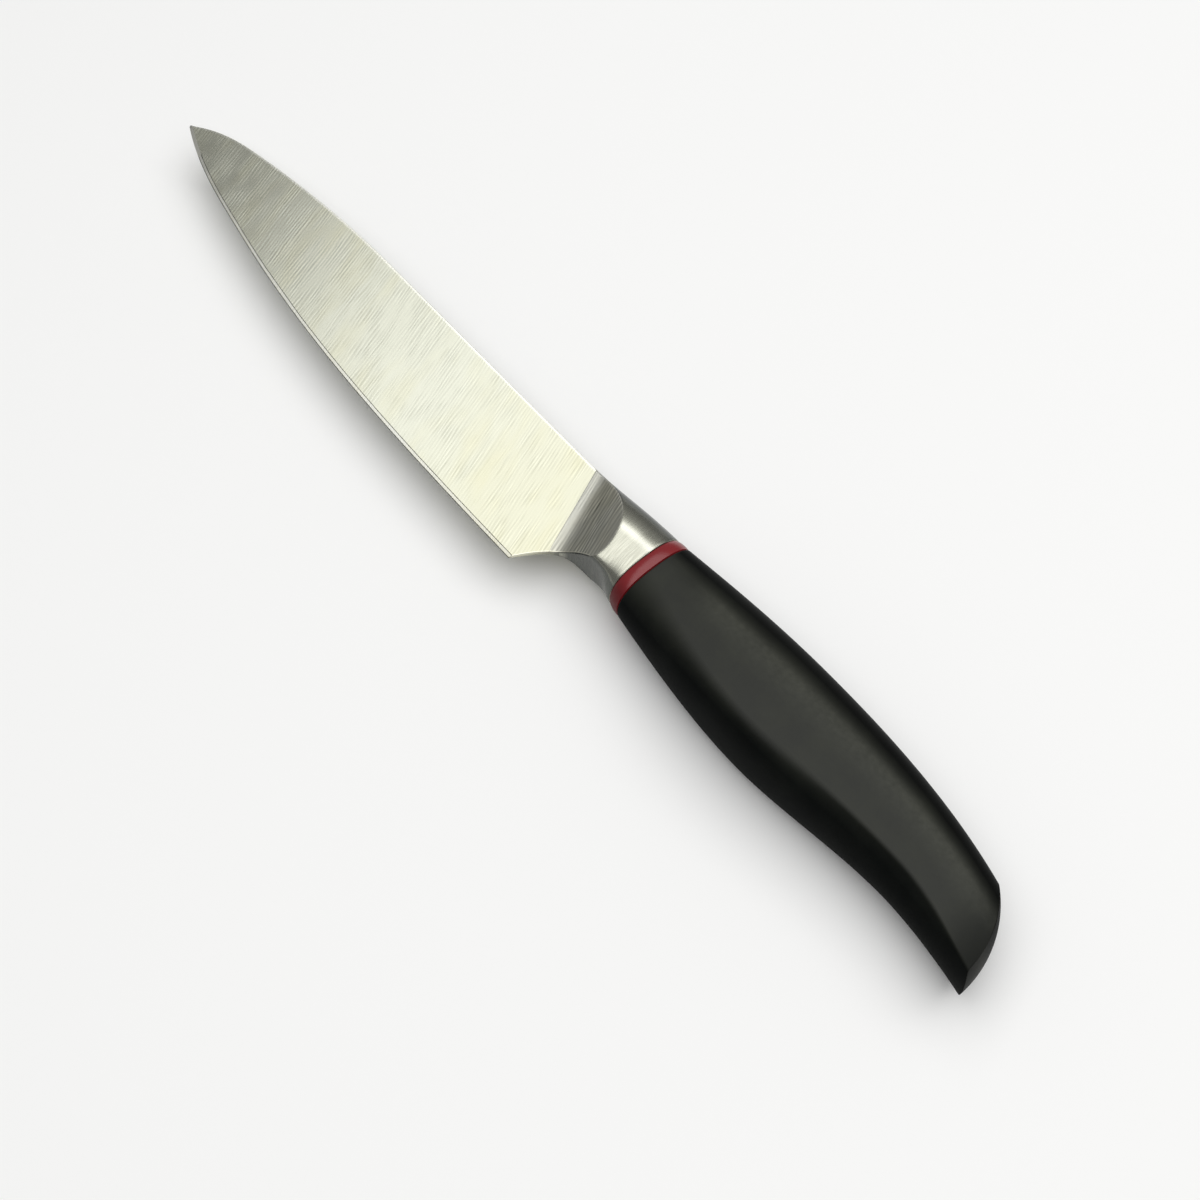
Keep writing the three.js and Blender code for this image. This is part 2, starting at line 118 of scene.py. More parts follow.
def new_finish(name):
    """A material without any nodes yet."""
    finish = bpy.data.materials.new(name)
    finish.use_nodes = True
    finish.node_tree.nodes.clear()
    return finish


def add(finish, kind, sockets, **settings):
    """Add one node to a finish. A socket takes a constant or another node's output."""
    node = finish.node_tree.nodes.new("ShaderNode" + kind)
    for name, value in settings.items():
        setattr(node, name, value)
    for socket, value in sockets.items():
        if isinstance(value, bpy.types.NodeSocket):
            finish.node_tree.links.new(value, node.inputs[socket])
        else:
            node.inputs[socket].default_value = value
    return node


print("mid grey #808080 is", round(linear("#808080")[0], 3), "linear")

# %% [markdown]
# ## Studio light
# A ground blade shows the studio more than it shows itself. Several small lamps would leave several bright
# patches on it, so one large soft lamp hangs a metre above the table. The lamp's left edge is what fades
# the blade from bright at the heel to grey at the tip. The lamp is turned a little, so that the fade runs
# on a slant across the blade. Its far edge leaves the spine side of the handle dark. The rest of the room
# is an even grey.

# %% Soft lamp and grey room
LAMP_MIDDLE = (0.189, 0.197, 1.0)
LAMP_SIZE = (1.76, 1.70)
LAMP_TURN = 20.0
LAMP_RADIANCE = 1.62
ROOM_GREY = "#888888"
lamp_data = bpy.data.lights.new("soft_lamp", "AREA")
lamp_data.shape = "RECTANGLE"
lamp_data.size, lamp_data.size_y = LAMP_SIZE
lamp_data.energy = math.pi * LAMP_RADIANCE * lamp_data.size * lamp_data.size_y
lamp = bpy.data.objects.new("soft_lamp", lamp_data)
bpy.context.scene.collection.objects.link(lamp)
lamp.location = LAMP_MIDDLE
lamp.rotation_euler.z = math.radians(LAMP_TURN)

room = bpy.data.worlds.new("grey_room")
bpy.context.scene.world = room
room.use_nodes = True
room.node_tree.nodes["Background"].inputs["Color"].default_value = linear(ROOM_GREY)
bpy.context.scene.view_settings.view_transform = "Standard"
print("lamp, W:", round(lamp_data.energy, 1))

# %% [markdown]
# ## Table
# The knife lies on a plain white table. A studio would hang a curved paper sweep behind it, but from this
# height no wall is in view, so one large plane is enough.

# %% Pale table
TABLE_SIZE = 40
TABLE_WHITE = "#f7f7f6"


def plain_shader(finish, colour, roughness, reflection, **sockets):
    """A shader that isn't metal, with its colour, its roughness and how strongly it reflects."""
    return add(finish, "BsdfPrincipled", {
        "Base Color": colour, "Roughness": roughness, "Specular IOR Level": reflection,
        **sockets}).outputs["BSDF"]


bpy.ops.object.select_all(action="DESELECT")
bpy.ops.mesh.primitive_plane_add(size=TABLE_SIZE)
floor = bpy.context.object
floor.name = "pale_floor"
# Matt white paint: an even, pale ground without glare that keeps the knife's soft shadow.
paint = new_finish("matt_white_table")
add(paint, "OutputMaterial", {"Surface": plain_shader(paint, linear(TABLE_WHITE), 0.9, 0.1)})
floor.data.materials.append(paint)
print("table, m:", [round(side) for side in floor.dimensions[:2]])

# %% [markdown]
# ## Noise, fades and blends
# Cloudy noise, a value that fades between two levels, a sum of two values and a blend of two colours come
# back in every finish. Each could be a node with its sockets spelled out, but then the same lines would
# stand here forty times. So each has a short helper that gives back the node's output.

# %% Pattern helpers
def noise(finish, where, size, detail, **sockets):
    """Cloudy noise from 0 to 1, with clouds of a size in the units of the coordinates."""
    return add(finish, "TexNoise", {
        "Vector": where, "Scale": 1 / size, "Detail": detail, **sockets}).outputs["Fac"]


def fade(finish, value, limits, levels=(0, 1), **settings):
    """Go from the first level to the second while a value goes from its first limit to its second."""
    return add(finish, "MapRange", {
        "Value": value, "From Min": limits[0], "From Max": limits[1],
        "To Min": levels[0], "To Max": levels[1]}, **settings).outputs["Result"]


def combine(finish, operation, first, second):
    """Calculate one value from two."""
    return add(finish, "Math", {0: first, 1: second}, operation=operation).outputs["Value"]


def blend(finish, share, first, second, way="MIX"):
    """Lay a share of the second colour over the first. A colour is sRGB hex or a node's output."""
    first, second = [linear(colour) if isinstance(colour, str) else colour for colour in (first, second)]
    return add(finish, "Mix", {0: share, 6: first, 7: second}, data_type="RGBA", blend_type=way).outputs[2]


print("helpers for patterns: noise, fade, combine, blend")

# %% [markdown]
# ## Strokes of the grinding belt
# The blade is stainless steel, ground on a belt that ran from the edge to the spine and leaned towards the
# tip. The belt leaves parallel lines and single strokes a few millimetres long, which show more in some
# patches than in others. All these patterns run the same way, so the knife's coordinates are turned along
# the strokes first. Each pattern could have its own Scale setting, but then nobody could read off its size.
# So the coordinates also count in the pattern's own width and length, in millimetres.

# %% Patterns along the strokes
STROKE_ANGLE = 110.5
# Width and length in millimetres. A real stroke is about 0.05 mm wide, too fine to show, so the single
# strokes are drawn five times as coarse, and the lines thirteen times.
STROKE_PATTERNS = {
    "line": (0.66, 3.8), "stroke": (0.25, 3.8), "patch": (3.0, 7.0), "tint": (5.0, 15.0)}


def stretched(finish, here, angle, width, length):
    """Coordinates that count in a pattern's own width and length, turned by an angle."""
    return add(finish, "Mapping", {
        "Vector": here, "Rotation": (0, 0, math.radians(angle)),
        "Scale": (width * MM, length * MM, length * MM)}, vector_type="TEXTURE").outputs["Vector"]


print("stroke patterns, mm:", STROKE_PATTERNS)

# %% [markdown]
# ## Lines and single strokes
# One stretched noise alone looks like brushed foil, and one wave alone looks like corduroy. So a wave
# draws the lines, a stretched noise draws the single strokes, and the two are mixed. A larger noise then
# decides where they show.

# %% Depth of the strokes
# A Wave texture of this scale draws one line for each unit of its coordinates.
ONE_LINE = math.pi / 10
LINE_WANDER = 5.0
LINE_SHARE = 0.6


def belt_strokes(steel, along):
    """How deep the belt cut at each point, and the patches in which its strokes show."""
    lines = add(steel, "TexWave", {
        "Vector": along["line"], "Scale": ONE_LINE, "Distortion": LINE_WANDER,
        "Detail": 1.0, "Detail Scale": 1.0})
    single = fade(steel, noise(steel, along["stroke"], 1, 0), (0.3, 0.7))
    depth = add(steel, "Mix", {0: LINE_SHARE, 2: single, 3: lines.outputs["Fac"]}, data_type="FLOAT")
    patches = noise(steel, along["patch"], 1, 2)
    shown = fade(steel, patches, (0.35, 0.65), (0.1, 1.1))
    strokes = add(steel, "Mix", {0: shown, 2: 0.5, 3: depth.outputs[0]}, data_type="FLOAT")
    return strokes.outputs[0], patches


print("share of the lines in the strokes:", LINE_SHARE)

# %% [markdown]
# ## Straw tint
# The steel has a faint straw tint, as the heat of grinding gives it. It grows towards the ramp and lies in
# long stains elsewhere. It could be mixed into the two colours of the steel, but then it would be even. So
# the place along the knife and a large noise are added up to say how far each point is tinted.

# %% Heat of grinding
HEAT_X = (-55.0, -28.0)
HEAT_AT_RAMP = 0.35
HEAT_IN_STAINS = 0.3


def fade_along(finish, here, reach, level, **settings):
    """0 ahead of the first place along the knife, and a level behind the second."""
    x = add(finish, "SeparateXYZ", {0: here}).outputs["X"]
    return fade(finish, x, [place(end, 0, 0).x for end in reach], (0, level), **settings)


def grinding_heat(steel, here, along):
    """How far the steel is tinted."""
    near_ramp = fade_along(steel, here, HEAT_X, HEAT_AT_RAMP)
    stains = fade(steel, noise(steel, along["tint"], 1, 2), (0.45, 0.7), (0, HEAT_IN_STAINS))
    return combine(steel, "ADD", near_ramp, stains)


print("the tint grows over", HEAT_X[1] - HEAT_X[0], "mm")

# %% [markdown]
# ## Painted rim highlight and painted side shade
# The rims along the spine get a painted highlight, and the narrow sides of choil and spine get painted
# shade:
# they are lighter and darker because of how light falls on them. Both could be painted on by hand, but a
# mask made from the way that the surface looks stays right when the shape changes. The y of that direction
# is 1 where the surface looks to the spine, 0 where it looks up or down, and -1 where it looks to the
# cutting edge. For each mask a pair of numbers gives the y at which it begins and the y at which it is
# full.

# %% Masks for rims and sides
RIM_LOOK = (0.03, 0.3)
RIM_EASE = 0.9
CHOIL_LOOK = (-0.5, -0.8)
SPINE_LOOK = (0.8, 0.95)
BEVEL_SAMPLES = 6


def eased_normal(finish, ease):
    """The way that the surface looks if its edges are rounded by some mm. A Bevel node does it in light."""
    return add(finish, "Bevel", {"Radius": ease * MM}, samples=BEVEL_SAMPLES).outputs["Normal"]


def spine_part(finish, normal=None):
    """The y of the way that the surface looks, as it is or with eased edges."""
    normal = normal or add(finish, "NewGeometry", {}).outputs["Normal"]
    return add(finish, "SeparateXYZ", {0: normal}).outputs["Y"]


def on_sides(finish, to_spine, spine_look, belly_look):
    """1 on the narrow sides of spine and belly, 0 between them."""
    on_spine, on_belly = fade(finish, to_spine, spine_look), fade(finish, to_spine, belly_look)
    return combine(finish, "MAXIMUM", on_spine, on_belly)


print("the rims are rubbed over", RIM_EASE, "mm")

# %% [markdown]
# ## Ground blade steel
# The parts are now put together. The strokes shade the steel between a light and a dark colour and tilt
# its surface by a hair, so they glint where the lamp's reflection fades. The tint, the painted highlight on
# the rims and the painted shade on the narrow sides are laid over that in turn. It could be one finish with
# its numbers typed in, but the bevel and the ramps were ground on other stones and wheels, so a function
# makes each of them from the same strokes.

# %% Belt-ground stainless steel
STRAW_TINT = "#fffae4"
# The first colour paints the highlight on the rims, the second the shade on the narrow sides.
RIM_HIGHLIGHT_STEEL = "#f0f0e8"
SHADE_STEEL = "#5c5e5a"
STROKE_DEPTH = 0.01


def relief(finish, height, strength, depth, normal):
    """The way that the surface looks with a pattern of some mm pressed into it."""
    return add(finish, "Bump", {
        "Height": height, "Strength": strength, "Distance": depth * MM,
        "Normal": normal}).outputs["Normal"]


def metal(finish, colour, rough, normal):
    """Complete a finish with a metal shader."""
    shader = add(finish, "BsdfPrincipled", {
        "Base Color": colour, "Metallic": 1.0, "Roughness": rough, "Normal": normal})
    add(finish, "OutputMaterial", {"Surface": shader.outputs["BSDF"]})


def ground_steel(name, light, dark, roughness, ease):
    """Steel with slanted strokes between a light and a dark colour, and edges eased by some mm."""
    steel = new_finish(name)
    here = add(steel, "TexCoord", {}).outputs["Object"]
    along = {pattern: stretched(steel, here, STROKE_ANGLE - 90, *size)
             for pattern, size in STROKE_PATTERNS.items()}
    strokes, patches = belt_strokes(steel, along)
    ground = blend(steel, strokes, light, dark)
    tinted = blend(steel, grinding_heat(steel, here, along), ground, STRAW_TINT, "MULTIPLY")
    # Painted highlight: a paler steel where the eased surface turns towards the spine.
    rim_highlight = fade(steel, spine_part(steel, eased_normal(steel, RIM_EASE)), RIM_LOOK)
    with_rim_highlight = blend(steel, rim_highlight, tinted, RIM_HIGHLIGHT_STEEL)
    # Painted shade: a darker steel on the narrow sides of choil and spine.
    narrow = on_sides(steel, spine_part(steel), SPINE_LOOK, CHOIL_LOOK)
    with_shade = blend(steel, narrow, with_rim_highlight, SHADE_STEEL)
    rough = fade(steel, patches, (0.3, 0.7), (roughness - 0.02, roughness + 0.03))
    metal(steel, with_shade, rough, relief(steel, strokes, 0.5, STROKE_DEPTH, eased_normal(steel, ease)))
    return steel


# Stainless steel ground on a belt: a soft, slightly warm mirror with slanted streaks that glint.
blade_steel = ground_steel("stainless_steel_belt_ground", "#cacbbd", "#b0b1a3", 0.22, 0.05)
print(blade_steel.name, len(blade_steel.node_tree.nodes), "nodes")

# %% [markdown]
# ## Blade
# The blade is a flat-ground wedge, thickest at the spine. It could be drawn again from its outline, but
# the CAD blade already has the true outline and faces, so it is copied. The copy's loose triangles are
# merged, and those that lie flat are joined into whole faces. Behind the foot of the ramps the blade is
# inside the bolster, so it is cut off there, on a slant along the grinding lines.

# %% Copy the blade and trim it
GRIND_ANGLE = 113.0
PLUNGE_X = -22.4
SPINE_RISE = 7.15
BLADE_TRIM = 1.5
MERGE_GAP = 0.001
FLAT_LIMIT = 0.2


def select_only(piece):
    """Operators act on what is selected, so nothing else may be."""
    bpy.ops.object.select_all(action="DESELECT")
    piece.select_set(True)
    bpy.context.view_layer.objects.active = piece


lean = math.radians(GRIND_ANGLE)
behind = Vector((math.sin(lean), -math.cos(lean), 0))
plunge = place(PLUNGE_X, SPINE_RISE, 0)
blade = bpy.data.objects.new("ground_blade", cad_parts["blade"].data.copy())
bpy.context.scene.collection.objects.link(blade)
blade.data.materials.clear()
blade.data.materials.append(blade_steel)
select_only(blade)
bpy.ops.object.mode_set(mode="EDIT")
bpy.ops.mesh.select_all(action="SELECT")
bpy.ops.mesh.remove_doubles(threshold=MERGE_GAP * MM)
bpy.ops.mesh.bisect(
    plane_co=plunge + behind * BLADE_TRIM * MM, plane_no=behind, use_fill=True, clear_outer=True)
bpy.ops.mesh.select_all(action="SELECT")
bpy.ops.mesh.dissolve_limited(angle_limit=math.radians(FLAT_LIMIT))
bpy.ops.object.mode_set(mode="OBJECT")
print("blade faces:", len(blade.data.polygons))

# %% [markdown]
# ## Cutting edge
# Sharpening grinds a narrow bevel along both sides of the edge. It is paler than the faces, and a thin dark
# line of painted shade runs round it. The bevel could be cut into the blade here, but the CAD blade has its
# faces already, so they are found by the way that they look, towards the edge and outwards, and get
# finishes of their own. The chamfers along the spine are finished with them.

# %% Find the bevel
HONE_START = 8.0
# Least parts of a face's direction, from 0 to 1: towards the edge or the spine, and outwards.
BEVEL_DOWN, BEVEL_OUT = 0.1, 0.6
CHAMFER_UP, CHAMFER_OUT = 0.4, 0.4
HONED, EDGE_SHADE = 1, 2
# Stainless steel honed on a stone: a pale, even line along the edge.
honed_steel = ground_steel("stainless_steel_honed", "#ecece4", "#e0e0d6", 0.34, 0.03)
# Darker stainless steel: a thin line of painted shade that sets the bevel off from the face.
edge_shade_steel = ground_steel("stainless_steel_edge_shade", "#6c6d64", "#5c5d55", 0.4, 0.03)
blade.data.materials.append(honed_steel)
blade.data.materials.append(edge_shade_steel)
bpy.ops.object.mode_set(mode="EDIT")
bpy.ops.mesh.select_mode(type="FACE")
bpy.ops.mesh.select_all(action="DESELECT")
shape = bmesh.from_edit_mesh(blade.data)
for face in shape.faces:
    past_tip = face.calc_center_median().x > blade_low.x + HONE_START * MM
    on_bevel = face.normal.y < -BEVEL_DOWN and abs(face.normal.z) > BEVEL_OUT
    on_chamfer = face.normal.y > CHAMFER_UP and abs(face.normal.z) > CHAMFER_OUT
    # Painted shade: the bevel starts dark here, and the inset below leaves a dark border round it.
    if on_bevel and past_tip:
        face.material_index = EDGE_SHADE
        face.select = True
    # On the spine's chamfers the pale honed steel also paints their bright line as a highlight.
    elif on_bevel or on_chamfer:
        face.material_index = HONED
print("bevel faces:", sum(face.select for face in shape.faces))
bmesh.update_edit_mesh(blade.data)

# %% [markdown]
# ## Line of painted shade
# The line is about as wide as a thick hair. A pattern in the shader could draw it, but it has to follow
# the bevel's border exactly, so it is made of faces. All of the bevel is dark so far. Inset sets a pale
# strip into it and leaves a dark border, and the border's short end near the tip is made pale again.

# %% Draw the line of painted shade
EDGE_SHADE_WIDTH = 0.14
bpy.ops.mesh.inset(thickness=EDGE_SHADE_WIDTH * MM)
shape = bmesh.from_edit_mesh(blade.data)
honed = [face for face in shape.faces if face.select]
start_x = min(corner.co.x for face in honed for corner in face.verts)
line_end = start_x + EDGE_SHADE_WIDTH * MM
at_start = [face for face in shape.faces if max(corner.co.x for corner in face.verts) < line_end]
for face in honed + [face for face in at_start if face.material_index == EDGE_SHADE]:
    face.material_index = HONED
bmesh.update_edit_mesh(blade.data)
print("honed faces:", len(honed))

# %% [markdown]
# ## Choil of the blade
# The choil is the curve behind the heel, where a finger lies, so its sharp edges are rounded off by hand.
# A Bevel modifier would round every edge of the blade. So only the edges between a broad face and the side
# of the choil are selected, by the way that their two faces look, and beveled. Where the bevel closes to
# nothing it leaves corners on top of each other, and these are merged.

# %% Ease the choil's edges
HEEL_X = -19.0
HEEL_MARGIN = 0.2
# A side looks outwards by less than the first part of its direction, a broad face by more than the second.
SIDE_OUT, FACE_OUT = 0.1, 0.9
CHOIL_EASE = 0.25
EASE_STEPS = 3


def ease_edges(piece, picks, index):
    """Round the edges that a test picks, and merge the corners that end on top of each other."""
    bpy.ops.object.mode_set(mode="EDIT")
    bpy.ops.mesh.select_mode(type="EDGE")
    bpy.ops.mesh.select_all(action="DESELECT")
    shape = bmesh.from_edit_mesh(piece.data)
    for edge in shape.edges:
        edge.select = picks(edge)
    print(piece.name, "choil edges:", sum(edge.select for edge in shape.edges))
    bmesh.update_edit_mesh(piece.data)
    bpy.ops.mesh.bevel(offset=CHOIL_EASE * MM, segments=EASE_STEPS, affect="EDGES", material=index)
    bpy.ops.mesh.select_all(action="SELECT")
    bpy.ops.mesh.remove_doubles(threshold=MERGE_GAP * MM)
    bpy.ops.object.mode_set(mode="OBJECT")


def on_blade_choil(edge):
    """True for an edge between a broad face and the side of the choil."""
    facing_up = sorted(abs(face.normal.z) for face in edge.link_faces)
    at_a_side = facing_up[0] < SIDE_OUT and facing_up[-1] > FACE_OUT
    front_x = min(corner.co.x for corner in edge.verts)
    return at_a_side and front_x > place(HEEL_X + HEEL_MARGIN, 0, 0).x


ease_edges(blade, on_blade_choil, HONED)

# %% [markdown]
# ## The blade takes its place
# The blade's curved outline is a row of short straight faces. Smooth shading everywhere would blur the
# bevel, and flat shading would show every step, so only edges that turn by up to 5 degrees are smoothed.
# The finished blade then rides on the knife's one body and stands in for the CAD blade.

# %% Shade the blade
BLADE_SMOOTH = 5
bpy.ops.object.shade_smooth_by_angle(angle=math.radians(BLADE_SMOOTH))
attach(blade, "root")
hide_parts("blade")
print("blade faces when finished:", len(blade.data.polygons))

# %% [markdown]
# ## Marks of the polishing wheel
# The neck of the bolster was polished by hand on a soft wheel. It is smoother than the blade, with faint
# marks that run round it. A plain smooth metal would look like chrome, so a noise that is stretched round
# the neck darkens and tilts the steel a little.

# %% Polishing marks
# A real polishing mark is about 0.02 mm wide, so the marks are drawn ten times as coarse.
POLISH_WIDTH = 0.2
POLISH_LENGTH = 3.5
POLISH_LEAN = 8
satin = new_finish("stainless_steel_satin_polished")
here = add(satin, "TexCoord", {}).outputs["Object"]
marks = noise(satin, stretched(satin, here, POLISH_LEAN, POLISH_WIDTH, POLISH_LENGTH), 1, 3)
polished = blend(satin, fade(satin, marks, (0.2, 0.8)), "#c8c8ba", "#a4a497")
print("polishing marks, mm:", POLISH_WIDTH, "by", POLISH_LENGTH)

# %% [markdown]
# ## Painted shade and highlight on the neck
# The spine and the belly of the neck get painted shade, the steel that turns under gets some of it, and a
# narrow ridge beside the spine gets a painted highlight. A ridge drawn at a fixed height would leave the
# curve of the neck. So again the way that the surface looks finds all these places.

# %% Masks for the neck
NECK_SPINE_LOOK = (0.3, 0.62)
NECK_BELLY_LOOK = (-0.76, -0.86)
UNDER_LOOK = (-0.35, -0.75)
UNDER_SHADE = 0.35
NECK_RIDGE_LOOKS = (0.01, 0.06), (0.15, 0.09)


def on_ridge(finish, to_spine, looks, **settings):
    """1 on a band of the surface, with one fade for its start and one for its end."""
    masks = [fade(finish, to_spine, look, **settings) for look in looks]
    return combine(finish, "MULTIPLY", *masks)


to_spine = spine_part(satin)
# Masks for painted shade on the sides and where the neck turns under, and for the ridge's painted
# highlight.
narrow = on_sides(satin, to_spine, NECK_SPINE_LOOK, NECK_BELLY_LOOK)
turned_under = fade(satin, to_spine, UNDER_LOOK, (0, UNDER_SHADE))
shaded = combine(satin, "MAXIMUM", narrow, turned_under)
ridge_highlight = on_ridge(satin, to_spine, NECK_RIDGE_LOOKS)
print("masks on the neck: dull and ridge, from", len(satin.node_tree.nodes), "nodes so far")

# %% [markdown]
# ## Satin bolster steel
# Now the marks and the masks meet in one shader. The edges could all be rounded in the mesh, but where the
# ramps cut the neck that would take many small faces. A Bevel node rounds them in the light instead.

# %% Satin-polished stainless steel
# Colour of the painted highlight on the ridge.
RIDGE_HIGHLIGHT_STEEL = "#d9d9cc"
POLISH_DEPTH = 0.01
EDGE_EASE = 0.8
# Stainless steel polished to satin: a broad, soft highlight and faint marks round the neck, with a painted
# highlight on the ridge and painted shade on the spine, the belly and where the neck turns under.
highlighted = blend(satin, ridge_highlight, polished, RIDGE_HIGHLIGHT_STEEL)
# Painted shade: a darker steel on the spine, the belly and, partly, where the neck turns under.
with_shade = blend(satin, shaded, highlighted, SHADE_STEEL)
rough = fade(satin, marks, (0, 1), (0.22, 0.32))
metal(satin, with_shade, rough, relief(satin, marks, 0.1, POLISH_DEPTH, eased_normal(satin, EDGE_EASE)))
print(satin.name, len(satin.node_tree.nodes), "nodes")

# %% [markdown]
# ## Curves and ovals
# The neck, the ring and the handle are made the way a boat is: a row of cross sections with a skin over
# them. They could be pulled out of a cube with a subdivision surface, but then their sizes would drift.
# Sections keep every size exact. What a section needs is the height of a smooth curve at its place along
# the knife, and a point on an oval that may be squarer than an ellipse.

# %% Curve and oval helpers
def evenly(low, high, count):
    """A row of numbers from low to high, both included."""
    return [low + (high - low) * i / (count - 1) for i in range(count)]


def knot_curve(knots, x):
    """Height at x of a smooth curve through knots of x, height and slope."""
    i = max([k for k in range(len(knots) - 1) if knots[k][0] <= x], default=0)
    (x0, y0, slope0), (x1, y1, slope1) = knots[i], knots[i + 1]
    u = (x - x0) / (x1 - x0)
    bend = slope0 * u * (1 - u) ** 2 - slope1 * u ** 2 * (1 - u)
    return y0 + (y1 - y0) * u * u * (3 - 2 * u) + (x1 - x0) * bend


def signed_power(value, power):
    """A power that keeps the sign, so that all four quarters of an oval come out alike."""
    return math.copysign(abs(value) ** power, value)


def oval_point(x, top, bottom, half, power, angle):
    """Point on an oval from its top at the spine. Power 2 is an ellipse, more is squarer."""
    height = (top - bottom) / 2 * signed_power(math.cos(angle), 2 / power)
    return (x, (top + bottom) / 2 + height, half * signed_power(math.sin(angle), 2 / power))


print("side of an oval:", [round(value, 3) for value in oval_point(0, 1, -1, 2, 2, math.pi / 2)])

# %% [markdown]
# ## Neck of the bolster
# The neck comes down from the spine in an oval on both sides to two rounded corners, with a belly between
# them. Along the choil the belly is flat and follows the finger's curve. Towards the ring it swells to the
# ring's own oval. A plain oval all along would bulge into the finger, so each section is put together from
# four runs of points: over the spine, round the near corner, along the belly and round the far corner.

# %% Neck sections
RING_RISE = 8.35
RING_DROP = 9.2
RING_HALF = 6.4
NECK_X = -5.0
NECK_DROP = 7.45
NECK_HALF = 6.2
NECK_POWER = 2.4
BELLY_FLARE = 5.0
CORNER_EASE = 0.8
SPINE = [(PLUNGE_X, SPINE_RISE, 0), (0, RING_RISE, 0)]
NECK_SIDE = [(PLUNGE_X, NECK_HALF, 0), (NECK_X, NECK_HALF, 0), (0, RING_HALF, 0)]
OVER_POINTS, CORNER_POINTS, BELLY_POINTS = 97, 9, 25


def rounded_corner(start, corner, end, count):
    """Points of a small curve that cuts a corner, without its two ends."""
    a, b, c = Vector(start), Vector(corner), Vector(end)
    return [tuple(a.lerp(b, u).lerp(b.lerp(c, u), u)) for u in evenly(0, 1, count)[1:-1]]


def neck_section(x, corner_y, sunk=0.0):
    """Section at x, with its two lower corners at corner_y."""
    crown_at_ring = RING_DROP - NECK_DROP
    top = knot_curve(SPINE, max(x, PLUNGE_X)) - sunk
    bottom = corner_y - crown_at_ring - BELLY_FLARE * (x / HEEL_X) ** 2
    half = knot_curve(NECK_SIDE, max(x, PLUNGE_X))
    share = (2 * corner_y - top - bottom) / (top - bottom)
    corner_angle = math.acos(signed_power(share, NECK_POWER / 2))
    corner = oval_point(x, top, bottom, half, NECK_POWER, corner_angle)
    eased = share + 2 * CORNER_EASE / (top - bottom)
    end_angle = math.acos(signed_power(eased, NECK_POWER / 2))
    angles = evenly(-end_angle, end_angle, OVER_POINTS)
    over = [oval_point(x, top, bottom, half, NECK_POWER, angle) for angle in angles]
    u = min(max((x - NECK_X) / -NECK_X, 0), 1)
    crown = crown_at_ring * u * u * (3 - 2 * u)
    edge = 1 - CORNER_EASE / corner[2]
    across = evenly(edge, -edge, BELLY_POINTS)
    belly = [(x, corner_y - crown * (1 - a * a), corner[2] * a) for a in across]
    near = rounded_corner(over[-1], corner, belly[0], CORNER_POINTS)
    far = [(x, y, -z) for x, y, z in reversed(near)]
    return over + near + belly + far


print("points in one section:", len(neck_section(NECK_X, -NECK_DROP)))

# %% [markdown]
# ## Sections down the choil
# Now the sections are set along the knife: one ahead of the ramps, many down the curve of the choil, and
# a level run to the ring. Evenly spaced sections would cut the curve's steep start at the heel into steps,
# so the sections follow a cubic curve with four handles and crowd together where it is steep.

# %% Sections of the neck
FRONT_REACH = 4
LAP_SINK = 0.12
HEEL_HANDLE = (2.8, 5.2)
NECK_HANDLE = 8.4
CHOIL_SECTIONS = 41
LEVEL_SECTIONS = 13
CHOIL_HANDLES = [
    (HEEL_X, -HEEL_DROP), (HEEL_X + HEEL_HANDLE[0], HEEL_HANDLE[1] - HEEL_DROP),
    (NECK_X - NECK_HANDLE, -NECK_DROP), (NECK_X, -NECK_DROP)]


def choil_point(u):
    """The finger's curve from the heel to the neck, as a cubic curve with four handles."""
    weights = [(1 - u) ** 3, 3 * u * (1 - u) ** 2, 3 * u * u * (1 - u), u ** 3]
    return [sum(w * handle[axis] for w, handle in zip(weights, CHOIL_HANDLES)) for axis in (0, 1)]


front = neck_section(PLUNGE_X - FRONT_REACH, -HEEL_DROP, LAP_SINK)
choil = [neck_section(*choil_point(u)) for u in evenly(0, 1, CHOIL_SECTIONS)]
level = [neck_section(x, -NECK_DROP) for x in evenly(NECK_X, 0, LEVEL_SECTIONS)[1:]]
print("sections of the neck:", 1 + len(choil) + len(level))

# %% [markdown]
# ## Skin over the sections
# Each section starts as a circle whose corners are moved to the outline wanted there. The circles are
# joined into one object, Bridge Edge Loops lays faces from each to the next, and the two ends are filled.
# The faces could be listed by number instead, but the bridge can't get their order wrong.

# %% Lay the neck's skin
def section_loop(points):
    """A circle with its corners moved to the points of a section."""
    bpy.ops.object.select_all(action="DESELECT")
    bpy.ops.mesh.primitive_circle_add(vertices=len(points), radius=MM)
    loop = bpy.context.object
    for corner, point in zip(loop.data.vertices, points):
        corner.co = place(*point)
    return loop


def skin(name, sections):
    """Bridge the sections in turn and close both ends."""
    loops = [section_loop(points) for points in sections]
    bpy.ops.object.select_all(action="DESELECT")
    for loop in loops:
        loop.select_set(True)
    bpy.context.view_layer.objects.active = loops[0]
    bpy.ops.object.join()
    piece = bpy.context.object
    piece.name = piece.data.name = name
    bpy.ops.object.mode_set(mode="EDIT")
    bpy.ops.mesh.select_mode(type="EDGE")
    bpy.ops.mesh.select_all(action="SELECT")
    bpy.ops.mesh.bridge_edge_loops()
    bpy.ops.mesh.select_all(action="DESELECT")
    bpy.ops.mesh.select_non_manifold()
    bpy.ops.mesh.fill_holes(sides=0)
    bpy.ops.mesh.select_all(action="SELECT")
    bpy.ops.mesh.normals_make_consistent(inside=False)
    bpy.ops.object.mode_set(mode="OBJECT")
    return piece


neck = skin("ground_bolster", [front] + choil + level)
neck.data.materials.append(satin)
print("neck faces:", len(neck.data.polygons))

